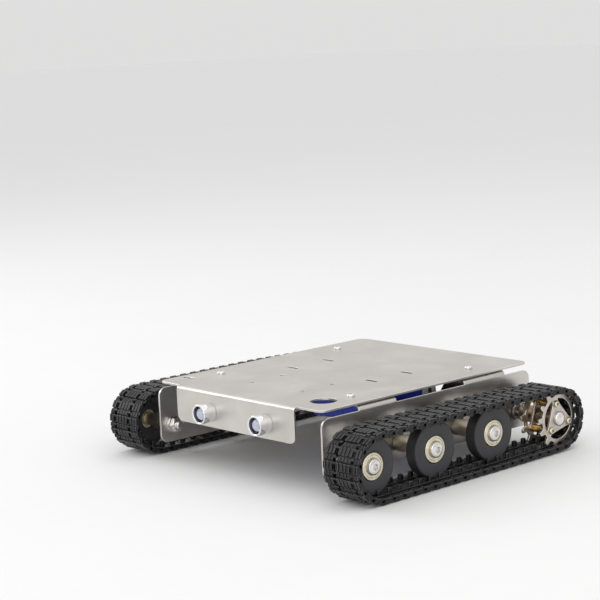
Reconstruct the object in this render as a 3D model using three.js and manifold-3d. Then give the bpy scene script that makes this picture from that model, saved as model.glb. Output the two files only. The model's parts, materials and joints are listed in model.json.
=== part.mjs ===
// Tracked tank chassis: folded stainless deck and side walls, three idler wheels and one driven
// sprocket pair per side, a linked track round each set, gear motors, battery and headlights.
// Millimetres. +Z is up, the front (bumper) faces -Y and the robot's left side is +X.
import * as THREE from 'three';
import { mergeVertices, toCreasedNormals } from 'three/addons/utils/BufferGeometryUtils.js';
import Module from 'manifold-3d';

const wasm = await Module();
wasm.setup();

// ---------------------------------------------------------------- driving dimensions (mm)
const FIT = 0.3;                 // clearance kept between neighbouring pieces

const SHEET = 1.5;               // stainless sheet thickness
const DECK_WIDTH = 170;
const DECK_FRONT = -99;          // y of the deck's plain front edge
const DECK_REAR = 104;
const DECK_TOP = 57;
const DECK_CORNER = 6;
const BUMPER_WIDTH = 122;
const BUMPER_BOTTOM = 32;
const BUMPER_CORNER = 5;
const BEND_OUTER = 3;            // outside radius of the bumper fold

const WALL_OUTER = 85.2;         // x of a side wall's outer face
const WALL_FRONT = -100;
const WALL_REAR = 104;
const WALL_BOTTOM = 11.5;
const WALL_TOP = 51.5;
const WALL_CORNER = 6;
const WALL_BEND = 4;             // outside radius of the wall's top fold
const FLANGE_INNER = 61;         // x the folded flange reaches inward to
const FLANGE_SPANS = [[-66, -31], [36, 78]];
const SCREW_X = 67;
const SCREW_Y = [-56, 60];

const AXLE_Z = 23.9;             // height of the idler wheel axles
const WHEEL_Y = [-88.75, -31.2, 26.35];
const WHEEL_NAMES = ['front', 'middle', 'rear'];
const WHEEL_RADIUS = 18.9;
const WHEEL_INNER = 110.4;       // x of the wheel's inboard face
const WHEEL_OUTER = 119.4;       // x of the wheel's outboard face
const BEARING_RADIUS = 9.5;
const BEARING_INNER = 113.3;
const BOLT_RADIUS = 3;
const RUNNING = 0.1;             // radial clearance of a bearing on its bolt

const SPROCKET_Y = 89.2;
const SPROCKET_Z = 23.3;
const TOOTH_COUNT = 13;
const TOOTH_TIP = 21.2;
const TOOTH_ANGLE = 176.3;        // where one tooth stands, seen from the left
const RING_OUTER = 17;
const RING_INNER = 13.5;
const DISC = 1.8;                // sprocket plate thickness
const OUTER_DISC = 122;          // x of the outer plate's inboard face
const INNER_DISC = 106.2;         // x of the inner plate's inboard face
const POST_CIRCLE = 11;          // radius the three posts stand on
const POST_ANGLES = [102, 222, 342];
const HUB_INNER = 92;            // x of the hub's inboard end
const HUB_RADIUS = 6.5;

const TRACK_INNER = 97;          // x of the track's inboard edge
const TRACK_OUTER = 129;
const LINK_COUNT = 51;
const PIN_DEPTH = 2.0;           // inner face to hinge line
const LINK_BASE = 2.05;          // hinge line to link base
const LINK_TIP = 2.7;            // hinge line to grouser tip
const GUIDE_X = [119.8, 121.4];   // between the wheels' faces and the outer plate
const GUIDE_HEIGHT = 3.7;        // short enough to pass over the sprocket's posts
const GUIDE_LENGTH = 3.4;

const MOTOR_Y = SPROCKET_Y - 5;  // gearbox body is offset from its output shaft
const MOTOR_Z = SPROCKET_Z + 5;
const GEARBOX_RADIUS = 16.5;
const GEARBOX_INNER = 58;
const CAN_INNER = 27;
const CAN_RADIUS = 13.5;
const SHAFT_RADIUS = 3;

const LAMP_X = [-25, 33];
const LAMP_Z = 42.6;
const LAMP_RADIUS = 7;
const LAMP_LENGTH = 10.4;

const BATTERY = { x0: 10, x1: 65, y0: -40, y1: 30, z0: 34, z1: 53.4, corner: 8 };
const PAD_INSET = 6;             // foam pad edge to battery edge

// ---------------------------------------------------------------- materials
function material(color, roughness, metalness) {
  return new THREE.MeshStandardMaterial({ color, roughness, metalness });
}
const steel = material(0xc9c6bf, 0.32, 1.0);
const brightSteel = material(0xdad8d4, 0.2, 1.0);
const bearingSteel = material(0xcfc6b2, 0.28, 1.0);
const brass = material(0xc89a45, 0.3, 1.0);
const nylon = material(0x2f3033, 0.55, 0.0);
const trackPlastic = material(0x1d1d1f, 0.6, 0.0);
const sleeveAluminium = material(0xc7bba6, 0.4, 1.0);
const gearboxMetal = material(0xa9a7a3, 0.35, 1.0);
const motorCan = material(0x3a3b3e, 0.4, 1.0);
const chrome = material(0xe6e6ea, 0.08, 1.0);
const lensPlastic = material(0xdfe3f2, 0.08, 0.0);
const batteryWrap = material(0x1f3fb0, 0.35, 0.0);
const foam = material(0x222222, 0.9, 0.0);

// ---------------------------------------------------------------- solid helpers
function toSolid(geometry) {
  const bare = geometry.clone();
  bare.deleteAttribute('normal');
  bare.deleteAttribute('uv');
  const welded = mergeVertices(bare, 1e-4);
  const mesh = new wasm.Mesh({
    numProp: 3,
    vertProperties: new Float32Array(welded.attributes.position.array),
    triVerts: new Uint32Array(welded.index.array),
  });
  return new wasm.Manifold(mesh);
}

function toGeometry(solid) {
  const mesh = solid.getMesh();
  const geometry = new THREE.BufferGeometry();
  geometry.setAttribute('position', new THREE.BufferAttribute(new Float32Array(mesh.vertProperties), 3));
  geometry.setIndex(new THREE.BufferAttribute(new Uint32Array(mesh.triVerts), 1));
  return geometry;
}

function union(...geometries) {
  const solids = geometries.map(toSolid);
  return toGeometry(solids.reduce((total, solid) => total.add(solid)));
}

function cut(geometry, ...tools) {
  const start = toSolid(geometry);
  return toGeometry(tools.map(toSolid).reduce((total, tool) => total.subtract(tool), start));
}

function common(a, b) {
  return toGeometry(toSolid(a).intersect(toSolid(b)));
}

function mirrorX(geometry) {
  const flipped = geometry.index ? geometry.toNonIndexed() : geometry.clone();
  const position = flipped.attributes.position;
  for (let i = 0; i < position.count; i += 3) {
    const corner = [0, 1, 2].map((k) => new THREE.Vector3().fromBufferAttribute(position, i + k));
    [corner[0], corner[2], corner[1]].forEach((point, k) => {
      position.setXYZ(i + k, -point.x, point.y, point.z);
    });
  }
  flipped.deleteAttribute('normal');
  return flipped;
}

function extrude(shape, depth, curveSegments = 6) {
  return new THREE.ExtrudeGeometry(shape, { depth, bevelEnabled: false, curveSegments });
}

// A flat outline drawn in (y, z), given thickness along x from x0 to x1.
function slabX(shape, x0, x1, curveSegments = 6) {
  const geometry = extrude(shape, x1 - x0, curveSegments);
  geometry.applyMatrix4(new THREE.Matrix4().set(0, 0, 1, x0, 1, 0, 0, 0, 0, 1, 0, 0, 0, 0, 0, 1));
  return geometry;
}

// A flat outline drawn in (x, z), given thickness along y from y0 to y1.
function slabY(shape, y0, y1, curveSegments = 6) {
  const geometry = extrude(shape, y1 - y0, curveSegments);
  geometry.rotateX(Math.PI / 2);
  geometry.translate(0, y1, 0);
  return geometry;
}

// A flat outline drawn in (x, y), given thickness along z from z0 to z1.
function slabZ(shape, z0, z1, curveSegments = 6) {
  const geometry = extrude(shape, z1 - z0, curveSegments);
  geometry.translate(0, 0, z0);
  return geometry;
}

function box(x0, x1, y0, y1, z0, z1) {
  const geometry = new THREE.BoxGeometry(x1 - x0, y1 - y0, z1 - z0);
  geometry.translate((x0 + x1) / 2, (y0 + y1) / 2, (z0 + z1) / 2);
  return geometry;
}

// Rounded rectangle outline; radii run lower-left, lower-right, upper-right, upper-left.
function roundedRect(u0, u1, v0, v1, radii) {
  const [a, b, c, d] = Array.isArray(radii) ? radii : [radii, radii, radii, radii];
  const shape = new THREE.Shape();
  shape.moveTo(u0 + a, v0);
  shape.lineTo(u1 - b, v0);
  if (b) shape.absarc(u1 - b, v0 + b, b, -Math.PI / 2, 0, false);
  shape.lineTo(u1, v1 - c);
  if (c) shape.absarc(u1 - c, v1 - c, c, 0, Math.PI / 2, false);
  shape.lineTo(u0 + d, v1);
  if (d) shape.absarc(u0 + d, v1 - d, d, Math.PI / 2, Math.PI, false);
  shape.lineTo(u0, v0 + a);
  if (a) shape.absarc(u0 + a, v0 + a, a, Math.PI, 1.5 * Math.PI, false);
  return shape;
}

function circle(u, v, radius) {
  const shape = new THREE.Shape();
  shape.absarc(u, v, radius, 0, 2 * Math.PI, false);
  return shape;
}

// Solid of revolution about an axis along +X through (y, z). Profile is [x, radius] pairs.
function turnX(profile, y, z, segments) {
  const points = profile.map(([x, radius]) => new THREE.Vector2(radius, x));
  const geometry = new THREE.LatheGeometry(points, segments);
  geometry.rotateZ(-Math.PI / 2);
  geometry.translate(0, y, z);
  return orientOutward(geometry);
}

// Solid of revolution about an axis along -Y through (x, z). Profile is [y, radius] pairs.
function turnY(profile, x, z, segments) {
  const points = profile.map(([y, radius]) => new THREE.Vector2(radius, y));
  const geometry = new THREE.LatheGeometry(points, segments);
  geometry.translate(x, 0, z);
  return orientOutward(geometry);
}

// Solid of revolution about a vertical axis through (x, y). Profile is [z, radius] pairs.
function turnZ(profile, x, y, segments) {
  const points = profile.map(([z, radius]) => new THREE.Vector2(radius, z));
  const geometry = new THREE.LatheGeometry(points, segments);
  geometry.rotateX(Math.PI / 2);
  geometry.translate(x, y, 0);
  return orientOutward(geometry);
}

// Lathe output may wind either way round; make the enclosed volume positive.
function orientOutward(geometry) {
  const flat = geometry.toNonIndexed();
  const position = flat.attributes.position;
  const a = new THREE.Vector3();
  const b = new THREE.Vector3();
  const c = new THREE.Vector3();
  let volume = 0;
  const keep = [];
  for (let i = 0; i < position.count; i += 3) {
    a.fromBufferAttribute(position, i);
    b.fromBufferAttribute(position, i + 1);
    c.fromBufferAttribute(position, i + 2);
    const area = b.clone().sub(a).cross(c.clone().sub(a)).length();
    if (area < 1e-9) continue;
    volume += a.dot(b.clone().cross(c));
    keep.push([a.clone(), b.clone(), c.clone()]);
  }
  const values = [];
  for (const [p, q, r] of keep) {
    const order = volume > 0 ? [p, q, r] : [p, r, q];
    for (const point of order) values.push(point.x, point.y, point.z);
  }
  const result = new THREE.BufferGeometry();
  result.setAttribute('position', new THREE.Float32BufferAttribute(values, 3));
  return result;
}

const group = new THREE.Group();

function addPiece(name, geometry, surface) {
  const flat = geometry.index ? geometry.toNonIndexed() : geometry;
  flat.deleteAttribute('uv');
  const mesh = new THREE.Mesh(toCreasedNormals(flat, 0.6), surface);
  mesh.name = name;
  group.add(mesh);
}

// Left-hand pieces are modelled once; the right-hand ones are their mirror images.
function addPair(name, geometry, surface) {
  addPiece(`left_${name}`, geometry, surface);
  addPiece(`right_${name}`, mirrorX(geometry), surface);
}

// ---------------------------------------------------------------- deck with folded bumper
function deckSheet() {
  const half = DECK_WIDTH / 2;
  const bottom = DECK_TOP - SHEET;
  const outline = roundedRect(-half, half, DECK_FRONT, DECK_REAR, DECK_CORNER);
  const plate = slabZ(outline, bottom, DECK_TOP, 3);

  const faceY = DECK_FRONT - BEND_OUTER;
  const fold = new THREE.Shape();
  fold.moveTo(DECK_FRONT + 2, DECK_TOP);
  fold.lineTo(DECK_FRONT, DECK_TOP);
  fold.absarc(DECK_FRONT, DECK_TOP - BEND_OUTER, BEND_OUTER, Math.PI / 2, Math.PI, false);
  fold.lineTo(faceY, BUMPER_BOTTOM);
  fold.lineTo(faceY + SHEET, BUMPER_BOTTOM);
  fold.lineTo(faceY + SHEET, DECK_TOP - BEND_OUTER);
  fold.absarc(DECK_FRONT, DECK_TOP - BEND_OUTER, BEND_OUTER - SHEET, Math.PI, Math.PI / 2, true);
  fold.lineTo(DECK_FRONT + 2, bottom);
  const halfBumper = BUMPER_WIDTH / 2;
  const folded = slabX(fold, -halfBumper, halfBumper, 3);
  const corners = [BUMPER_CORNER, BUMPER_CORNER, 0, 0];
  const face = roundedRect(-halfBumper, halfBumper, BUMPER_BOTTOM, DECK_TOP, corners);
  const bumper = common(folded, slabY(face, faceY - 1, DECK_FRONT + 3, 3));

  const lampHoles = LAMP_X.map((x) => slabY(circle(x, LAMP_Z, 4.3), faceY - 1, DECK_FRONT, 6));
  const through = [bottom - 1, DECK_TOP + 1];
  const holes = [
    slabZ(circle(62, -76, 9), ...through, 10),
    slabZ(roundedRect(-81, -70, -81, -77, 1.9), ...through, 2),
  ];
  for (const side of [-1, 1]) {
    for (const y of SCREW_Y) holes.push(slabZ(circle(side * SCREW_X, y, 1.8), ...through, 5));
  }
  for (const y of [-10, 25]) {
    for (const x of [-40, 40]) {
      holes.push(slabZ(roundedRect(x - 6, x + 6, y - 1.7, y + 1.7, 1.6), ...through, 2));
    }
  }
  for (const x of [-26, 26]) {
    for (const y of [-62, -34]) holes.push(slabZ(circle(x, y, 1.7), ...through, 5));
  }
  return cut(union(plate, bumper), ...lampHoles, ...holes);
}
addPiece('deck_and_bumper_sheet', deckSheet(), steel);

// ---------------------------------------------------------------- side walls
function sideWall() {
  const inner = WALL_OUTER - SHEET;
  const flangeTop = DECK_TOP - SHEET - FIT;
  const plate = slabX(
    roundedRect(WALL_FRONT, WALL_REAR, WALL_BOTTOM, WALL_TOP, WALL_CORNER), inner, WALL_OUTER, 3);
  const fold = new THREE.Shape();
  fold.moveTo(inner, WALL_TOP - 4);
  fold.lineTo(WALL_OUTER, WALL_TOP - 4);
  fold.lineTo(WALL_OUTER, flangeTop - WALL_BEND);
  fold.absarc(WALL_OUTER - WALL_BEND, flangeTop - WALL_BEND, WALL_BEND, 0, Math.PI / 2, false);
  fold.lineTo(FLANGE_INNER, flangeTop);
  fold.lineTo(FLANGE_INNER, flangeTop - SHEET);
  fold.lineTo(WALL_OUTER - WALL_BEND, flangeTop - SHEET);
  fold.absarc(WALL_OUTER - WALL_BEND, flangeTop - WALL_BEND, WALL_BEND - SHEET, Math.PI / 2, 0, true);
  const flanges = FLANGE_SPANS.map(([y0, y1]) => slabY(fold, y0, y1, 3));
  const holes = WHEEL_Y.map((y) => slabX(circle(y, AXLE_Z, BOLT_RADIUS + FIT), inner - 1, WALL_OUTER + 1, 6));
  holes.push(slabX(circle(SPROCKET_Y, SPROCKET_Z, 6), inner - 1, WALL_OUTER + 1, 8));
  for (const [y, z] of motorScrews()) holes.push(slabX(circle(y, z, 1.8), inner - 1, WALL_OUTER + 1, 5));
  const screwHoles = SCREW_Y.map((y) => slabZ(circle(SCREW_X, y, 1.8), flangeTop - 3, flangeTop + 1, 5));
  return cut(union(plate, ...flanges), ...holes, ...screwHoles);
}

function motorScrews() {
  return [[MOTOR_Y - 11, MOTOR_Z + 5], [MOTOR_Y + 4, MOTOR_Z + 12]];
}
addPair('side_wall', sideWall(), steel);

// ---------------------------------------------------------------- deck screws
SCREW_Y.forEach((y, index) => {
  const top = DECK_TOP + FIT;
  const profile = [[top - 3.6, 0], [top - 3.6, 1.5], [top, 1.5], [top, 2.8], [top + 1, 2.7], [top + 1.8, 1.6],
    [top + 1.8, 0]];
  addPair(`deck_screw_${index === 0 ? 'front' : 'rear'}`, turnZ(profile, SCREW_X, y, 12), brightSteel);
});

// ---------------------------------------------------------------- battery
const wrap = roundedRect(BATTERY.x0, BATTERY.x1, BATTERY.z0, BATTERY.z1, BATTERY.corner);
addPiece('battery_pack', slabY(wrap, BATTERY.y0, BATTERY.y1, 3), batteryWrap);
const pad = box(BATTERY.x0 + PAD_INSET, BATTERY.x1 - PAD_INSET,
  BATTERY.y0 + PAD_INSET, BATTERY.y1 - PAD_INSET, BATTERY.z1 + FIT, DECK_TOP - SHEET - FIT);
addPiece('battery_foam_pad', pad, foam);

// ---------------------------------------------------------------- headlights
const lampFace = DECK_FRONT - BEND_OUTER - FIT;
LAMP_X.forEach((x, index) => {
  const side = index === 0 ? 'right' : 'left';
  const front = lampFace - LAMP_LENGTH;
  const body = [[front + 3.4, 0], [front + 3.4, 5.9], [front, 5.9], [front, LAMP_RADIUS],
    [lampFace, LAMP_RADIUS], [lampFace, 4],
    [lampFace + 2.1, 4], [lampFace + 2.1, 6.2], [lampFace + 5.2, 6.2], [lampFace + 5.2, 4],
    [lampFace + 8, 4], [lampFace + 8, 0]];
  addPiece(`${side}_headlight_body`, turnY(body, x, LAMP_Z, 18), chrome);
  const lens = [[front + 3.1, 0], [front + 3.1, 5.6], [front + 1.6, 5.6], [front + 0.5, 3.4],
    [front + 0.2, 0]];
  addPiece(`${side}_headlight_lens`, turnY(lens, x, LAMP_Z, 16), lensPlastic);
});

// ---------------------------------------------------------------- idler wheels
const bore = BEARING_RADIUS + 0.15;
const race = BEARING_RADIUS - 0.15;
WHEEL_Y.forEach((y, index) => {
  const label = WHEEL_NAMES[index];
  const wheel = [[WHEEL_INNER, 7], [WHEEL_INNER, WHEEL_RADIUS], [WHEEL_OUTER - 0.6, WHEEL_RADIUS],
    [WHEEL_OUTER, WHEEL_RADIUS - 0.6], [WHEEL_OUTER, bore], [BEARING_INNER - FIT, bore],
    [BEARING_INNER - FIT, 7], [WHEEL_INNER, 7]];
  addPair(`${label}_wheel`, turnX(wheel, y, AXLE_Z, 30), nylon);

  const hole = BOLT_RADIUS + RUNNING;
  const ring = [[BEARING_INNER, hole], [BEARING_INNER, race], [WHEEL_OUTER + 0.3, race],
    [WHEEL_OUTER + 0.3, 7.5], [WHEEL_OUTER - 0.5, 7.2], [WHEEL_OUTER - 0.5, 5.2], [WHEEL_OUTER + 0.3, 4.9],
    [WHEEL_OUTER + 0.3, hole], [BEARING_INNER, hole]];
  addPair(`${label}_wheel_bearing`, turnX(ring, y, AXLE_Z, 16), bearingSteel);

  const seat = WHEEL_OUTER + 0.6;
  const shank = [[75, 0], [75, BOLT_RADIUS - 0.5], [75.5, BOLT_RADIUS], [seat, BOLT_RADIUS], [seat, 5.2],
    [seat + 0.9, 5.2], [seat + 1.9, 3.8], [seat + 1.9, 1.8], [seat + 0.7, 1.8], [seat + 0.7, 0]];
  const bolt = turnX(shank, y, AXLE_Z, 12);
  const nut = slabX(hexagon(y, AXLE_Z, 5.6), 78.4, WALL_OUTER - SHEET - FIT);
  addPair(`${label}_axle_bolt_and_nut`, union(bolt, nut), brightSteel);

  const sleeve = [[WALL_OUTER + FIT, BOLT_RADIUS + FIT], [WALL_OUTER + FIT, 5.8], [102, 5.8], [102, 4.6],
    [BEARING_INNER - FIT, 4.6], [BEARING_INNER - FIT, BOLT_RADIUS + FIT],
    [WALL_OUTER + FIT, BOLT_RADIUS + FIT]];
  addPair(`${label}_axle_spacer`, turnX(sleeve, y, AXLE_Z, 14), sleeveAluminium);
});

function hexagon(u, v, radius) {
  const shape = new THREE.Shape();
  for (let i = 0; i < 6; i += 1) {
    const angle = (i * Math.PI) / 3;
    shape[i ? 'lineTo' : 'moveTo'](u + radius * Math.cos(angle), v + radius * Math.sin(angle));
  }
  return shape;
}

// ---------------------------------------------------------------- sprockets
function around(radius, degrees) {
  const angle = (degrees * Math.PI) / 180;
  return [SPROCKET_Y + radius * Math.cos(angle), SPROCKET_Z + radius * Math.sin(angle)];
}

function toothedOutline() {
  const shape = new THREE.Shape();
  const step = 360 / TOOTH_COUNT;
  for (let i = 0; i < TOOTH_COUNT; i += 1) {
    const middle = TOOTH_ANGLE + i * step;
    const corners = [[RING_OUTER, -7.5], [TOOTH_TIP - 1, -4.6], [TOOTH_TIP, -2.4], [TOOTH_TIP, 2.4],
      [TOOTH_TIP - 1, 4.6], [RING_OUTER, 7.5]];
    corners.forEach(([radius, offset], k) => {
      shape[i || k ? 'lineTo' : 'moveTo'](...around(radius, middle + offset));
    });
  }
  return shape;
}

// Rounded triangle that carries the three posts.
function spiderOutline() {
  const shape = new THREE.Shape();
  const tip = 3.6;
  POST_ANGLES.forEach((angle, index) => {
    for (const offset of [-60, -30, 0, 30, 60]) {
      const [y, z] = around(POST_CIRCLE, angle);
      const direction = ((angle + offset) * Math.PI) / 180;
      const first = index === 0 && offset === -60;
      shape[first ? 'moveTo' : 'lineTo'](y + tip * Math.cos(direction), z + tip * Math.sin(direction));
    }
  });
  return shape;
}

function sprocketPlate(x, centreHole) {
  const x0 = x - 1;
  const x1 = x + DISC + 1;
  const insideRing = slabX(circle(SPROCKET_Y, SPROCKET_Z, RING_INNER), x0, x1, 13);
  const openings = cut(insideRing, slabX(spiderOutline(), x0 - 1, x1 + 1));
  const holes = POST_ANGLES.map((angle) => slabX(circle(...around(POST_CIRCLE, angle), 1.8), x0, x1, 5));
  holes.push(slabX(circle(SPROCKET_Y, SPROCKET_Z, centreHole), x0, x1, 8));
  return cut(slabX(toothedOutline(), x, x + DISC), openings, ...holes);
}
addPair('sprocket_outer_plate', sprocketPlate(OUTER_DISC, 2.3), steel);
addPair('sprocket_inner_plate', sprocketPlate(INNER_DISC, 6.8), steel);

POST_ANGLES.forEach((angle, index) => {
  const [y, z] = around(POST_CIRCLE, angle);
  const near = INNER_DISC;
  const far = OUTER_DISC + DISC;
  const profile = [[near - 2, 0], [near - 2, 2.6], [near - FIT, 2.6], [near - FIT, 1.5],
    [near + DISC + FIT, 1.5], [near + DISC + FIT, 2.7],
    [OUTER_DISC - FIT, 2.7], [OUTER_DISC - FIT, 1.5], [far + FIT, 1.5],
    [far + FIT, 2.6], [far + 1.9, 2.2], [far + 1.9, 0]];
  addPair(`sprocket_post_${index + 1}`, turnX(profile, y, z, 8), brass);
});

const hubBore = SHAFT_RADIUS + FIT;
const hubFar = OUTER_DISC - FIT;
const hubProfile = [[HUB_INNER, hubBore], [HUB_INNER, HUB_RADIUS], [hubFar, HUB_RADIUS], [hubFar, hubBore],
  [HUB_INNER, hubBore]];
addPair('sprocket_hub', turnX(hubProfile, SPROCKET_Y, SPROCKET_Z, 16), brass);

const capSeat = OUTER_DISC + DISC + FIT;
const capProfile = [[capSeat - 8, 0], [capSeat - 8, 2], [capSeat, 2], [capSeat, 5.2], [capSeat + 0.9, 5.2],
  [capSeat + 2.2, 4], [capSeat + 3, 1.8], [capSeat + 3, 0]];
addPair('sprocket_cap_screw', turnX(capProfile, SPROCKET_Y, SPROCKET_Z, 14), brightSteel);

// ---------------------------------------------------------------- gear motors
const wallInner = WALL_OUTER - SHEET;
const shaftInner = wallInner - 6;
const shaftEnd = capSeat - 8.5;
const shaftProfile = [[shaftInner, 0], [shaftInner, SHAFT_RADIUS], [shaftEnd, SHAFT_RADIUS], [shaftEnd, 0]];
addPair('motor_output_shaft', turnX(shaftProfile, SPROCKET_Y, SPROCKET_Z, 12), brightSteel);

function gearbox() {
  const face = wallInner - FIT;
  const body = turnX([[GEARBOX_INNER, 0], [GEARBOX_INNER, GEARBOX_RADIUS], [face, GEARBOX_RADIUS], [face, 0]],
    MOTOR_Y, MOTOR_Z, 24);
  const boss = turnX([[face - 1, 0], [face - 1, 5.5], [WALL_OUTER + 2.5, 5.5], [WALL_OUTER + 2.5, 0]],
    SPROCKET_Y, SPROCKET_Z, 16);
  const screws = motorScrews().map(([y, z]) => turnX(
    [[face - 1, 0], [face - 1, 1.5], [WALL_OUTER + FIT, 1.5], [WALL_OUTER + FIT, 2.8], [WALL_OUTER + 2, 2.4],
      [WALL_OUTER + 2, 0]], y, z, 10));
  const shaftHole = SHAFT_RADIUS + 0.2;
  const shaftBore = turnX([[shaftInner - FIT, 0], [shaftInner - FIT, shaftHole], [WALL_OUTER + 4, shaftHole],
    [WALL_OUTER + 4, 0]], SPROCKET_Y, SPROCKET_Z, 16);
  return cut(union(body, boss, ...screws), shaftBore);
}
addPair('motor_gearbox', gearbox(), gearboxMetal);

const canProfile = [[CAN_INNER - 2.5, 0], [CAN_INNER - 2.5, 5], [CAN_INNER, 5], [CAN_INNER, CAN_RADIUS - 1.2],
  [CAN_INNER + 1.2, CAN_RADIUS], [GEARBOX_INNER - FIT, CAN_RADIUS], [GEARBOX_INNER - FIT, 0]];
addPair('motor_can', turnX(canProfile, MOTOR_Y, MOTOR_Z, 22), motorCan);

// ---------------------------------------------------------------- tracks
const FRONT_PIN = WHEEL_RADIUS + FIT + PIN_DEPTH;        // hinge line radius round a wheel
const idlerEnd = (y) => ({ y, z: AXLE_Z, r: FRONT_PIN });
const rearEnd = (r) => ({ y: SPROCKET_Y, z: SPROCKET_Z, r });

// Straight runs and arcs of a belt round the given circles, taken anticlockwise seen from +X.
function beltSegments(circles) {
  const normals = circles.map((from, i) => {
    const to = circles[(i + 1) % circles.length];
    const heading = Math.atan2(to.z - from.z, to.y - from.y);
    const distance = Math.hypot(to.z - from.z, to.y - from.y);
    return heading - Math.acos((from.r - to.r) / distance);
  });
  const segments = [];
  circles.forEach((from, i) => {
    const to = circles[(i + 1) % circles.length];
    const normal = normals[i];
    const next = normals[(i + 1) % circles.length];
    const distance = Math.hypot(to.z - from.z, to.y - from.y);
    const run = Math.sqrt(distance ** 2 - (from.r - to.r) ** 2);
    const wrap = (((next - normal) % (2 * Math.PI)) + 2 * Math.PI) % (2 * Math.PI);
    segments.push({ circle: from, normal, wrap: 0, length: run });
    segments.push({ circle: to, normal, wrap, length: wrap * to.r });
  });
  return segments;
}

function beltLength(segments) {
  return segments.reduce((total, segment) => total + segment.length, 0);
}

function beltCircles(rearPin) {
  const last = idlerEnd(WHEEL_Y[2]);
  return [idlerEnd(WHEEL_Y[0]), last, rearEnd(rearPin), last];
}

// The sprocket's pitch radius and the link pitch set each other through the closed belt length.
function solveRearPin() {
  let radius = 19.8;
  for (let i = 0; i < 20; i += 1) {
    const pitch = beltLength(beltSegments(beltCircles(radius))) / LINK_COUNT;
    radius = pitch / (2 * Math.sin(Math.PI / TOOTH_COUNT));
  }
  return radius;
}

const hingeLine = beltSegments(beltCircles(solveRearPin()));
const hingeLength = beltLength(hingeLine);

function onCircle(end, angle) {
  return { y: end.y + end.r * Math.cos(angle), z: end.z + end.r * Math.sin(angle), angle };
}

// Point and outward normal at a fraction of the way round the hinge line, starting under the
// front wheel and running rearward along the ground, round the sprocket and back over the top.
function trackPoint(fraction) {
  let left = (((fraction % 1) + 1) % 1) * hingeLength;
  let index = 0;
  while (left > hingeLine[index].length && index < hingeLine.length - 1) {
    left -= hingeLine[index].length;
    index += 1;
  }
  const { circle: end, normal, wrap } = hingeLine[index];
  if (wrap > 0 || index % 2 === 1) return onCircle(end, normal + left / end.r);
  const start = onCircle(end, normal);
  const heading = normal + Math.PI / 2;
  return { y: start.y + left * Math.cos(heading), z: start.z + left * Math.sin(heading), angle: normal };
}

// A link stands centred on the tooth nearest straight behind the sprocket.
function linkPhase() {
  const step = (2 * Math.PI) / TOOTH_COUNT;
  const tooth = (TOOTH_ANGLE * Math.PI) / 180 - Math.round(TOOTH_COUNT / 2) * step;
  const wrapStart = hingeLine[3].normal;
  const arc = (((tooth - wrapStart) % step) + step) % step;
  return (beltLength(hingeLine.slice(0, 3)) + arc * hingeLine[3].circle.r) / hingeLength - 0.5 / LINK_COUNT;
}
const phase = linkPhase();

function offsetPoint(s, offset) {
  const { y, z, angle } = trackPoint(s + phase);
  return [y + offset * Math.cos(angle), z + offset * Math.sin(angle)];
}

function trackBelt() {
  const outline = new THREE.Shape();
  const inner = [];
  for (let link = 0; link < LINK_COUNT; link += 1) {
    const steps = [[0.18, LINK_BASE], [0.26, LINK_TIP], [0.74, LINK_TIP], [0.82, LINK_BASE]];
    steps.forEach(([along, offset], k) => {
      const point = offsetPoint((link + along) / LINK_COUNT, offset);
      outline[link || k ? 'lineTo' : 'moveTo'](...point);
    });
  }
  for (const { circle: end, normal, wrap } of hingeLine.filter((segment, index) => index % 2 === 1)) {
    const face = { y: end.y, z: end.z, r: end.r - PIN_DEPTH };
    const steps = Math.max(1, Math.round(wrap / 0.22));
    for (let k = 0; k <= steps; k += 1) {
      const { y, z } = onCircle(face, normal + (wrap * k) / steps);
      inner.push(new THREE.Vector2(y, z));
    }
  }
  outline.holes.push(new THREE.Path(inner));
  const band = slabX(outline, TRACK_INNER, TRACK_OUTER);

  const guides = [];
  for (let link = 0; link < LINK_COUNT; link += 1) {
    const { y, z, angle } = trackPoint((link + 0.5) / LINK_COUNT + phase);
    const post = new THREE.BoxGeometry(GUIDE_X[1] - GUIDE_X[0], GUIDE_LENGTH, GUIDE_HEIGHT + 1);
    post.translate(0, 0, -(PIN_DEPTH + GUIDE_HEIGHT / 2 - 0.5));
    post.rotateX(angle - Math.PI / 2);
    post.translate((GUIDE_X[0] + GUIDE_X[1]) / 2, y, z);
    guides.push(post);
  }
  // Room inside the belt for the teeth at every angle of the sprocket.
  const sweeps = [OUTER_DISC, INNER_DISC].map((x) => slabX(
    circle(SPROCKET_Y, SPROCKET_Z, TOOTH_TIP + 0.35), x - 0.5, x + DISC + 0.5, 18));
  return cut(union(band, ...guides), ...sweeps);
}
addPair('track_belt', trackBelt(), trackPlastic);

export default group;
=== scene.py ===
"""Looks of the tracked tank chassis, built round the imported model.

The frame is in metres; the shapes below are worked out in millimetres and scaled once, in place().
+Z is up, the front (bumper) faces -Y and the robot's left side is +X. Left-hand pieces are made
once and mirrored for the right-hand side.
"""
import json
import math

import bmesh
import bpy
from mathutils import Matrix, Vector
from mathutils.geometry import tessellate_polygon

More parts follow.
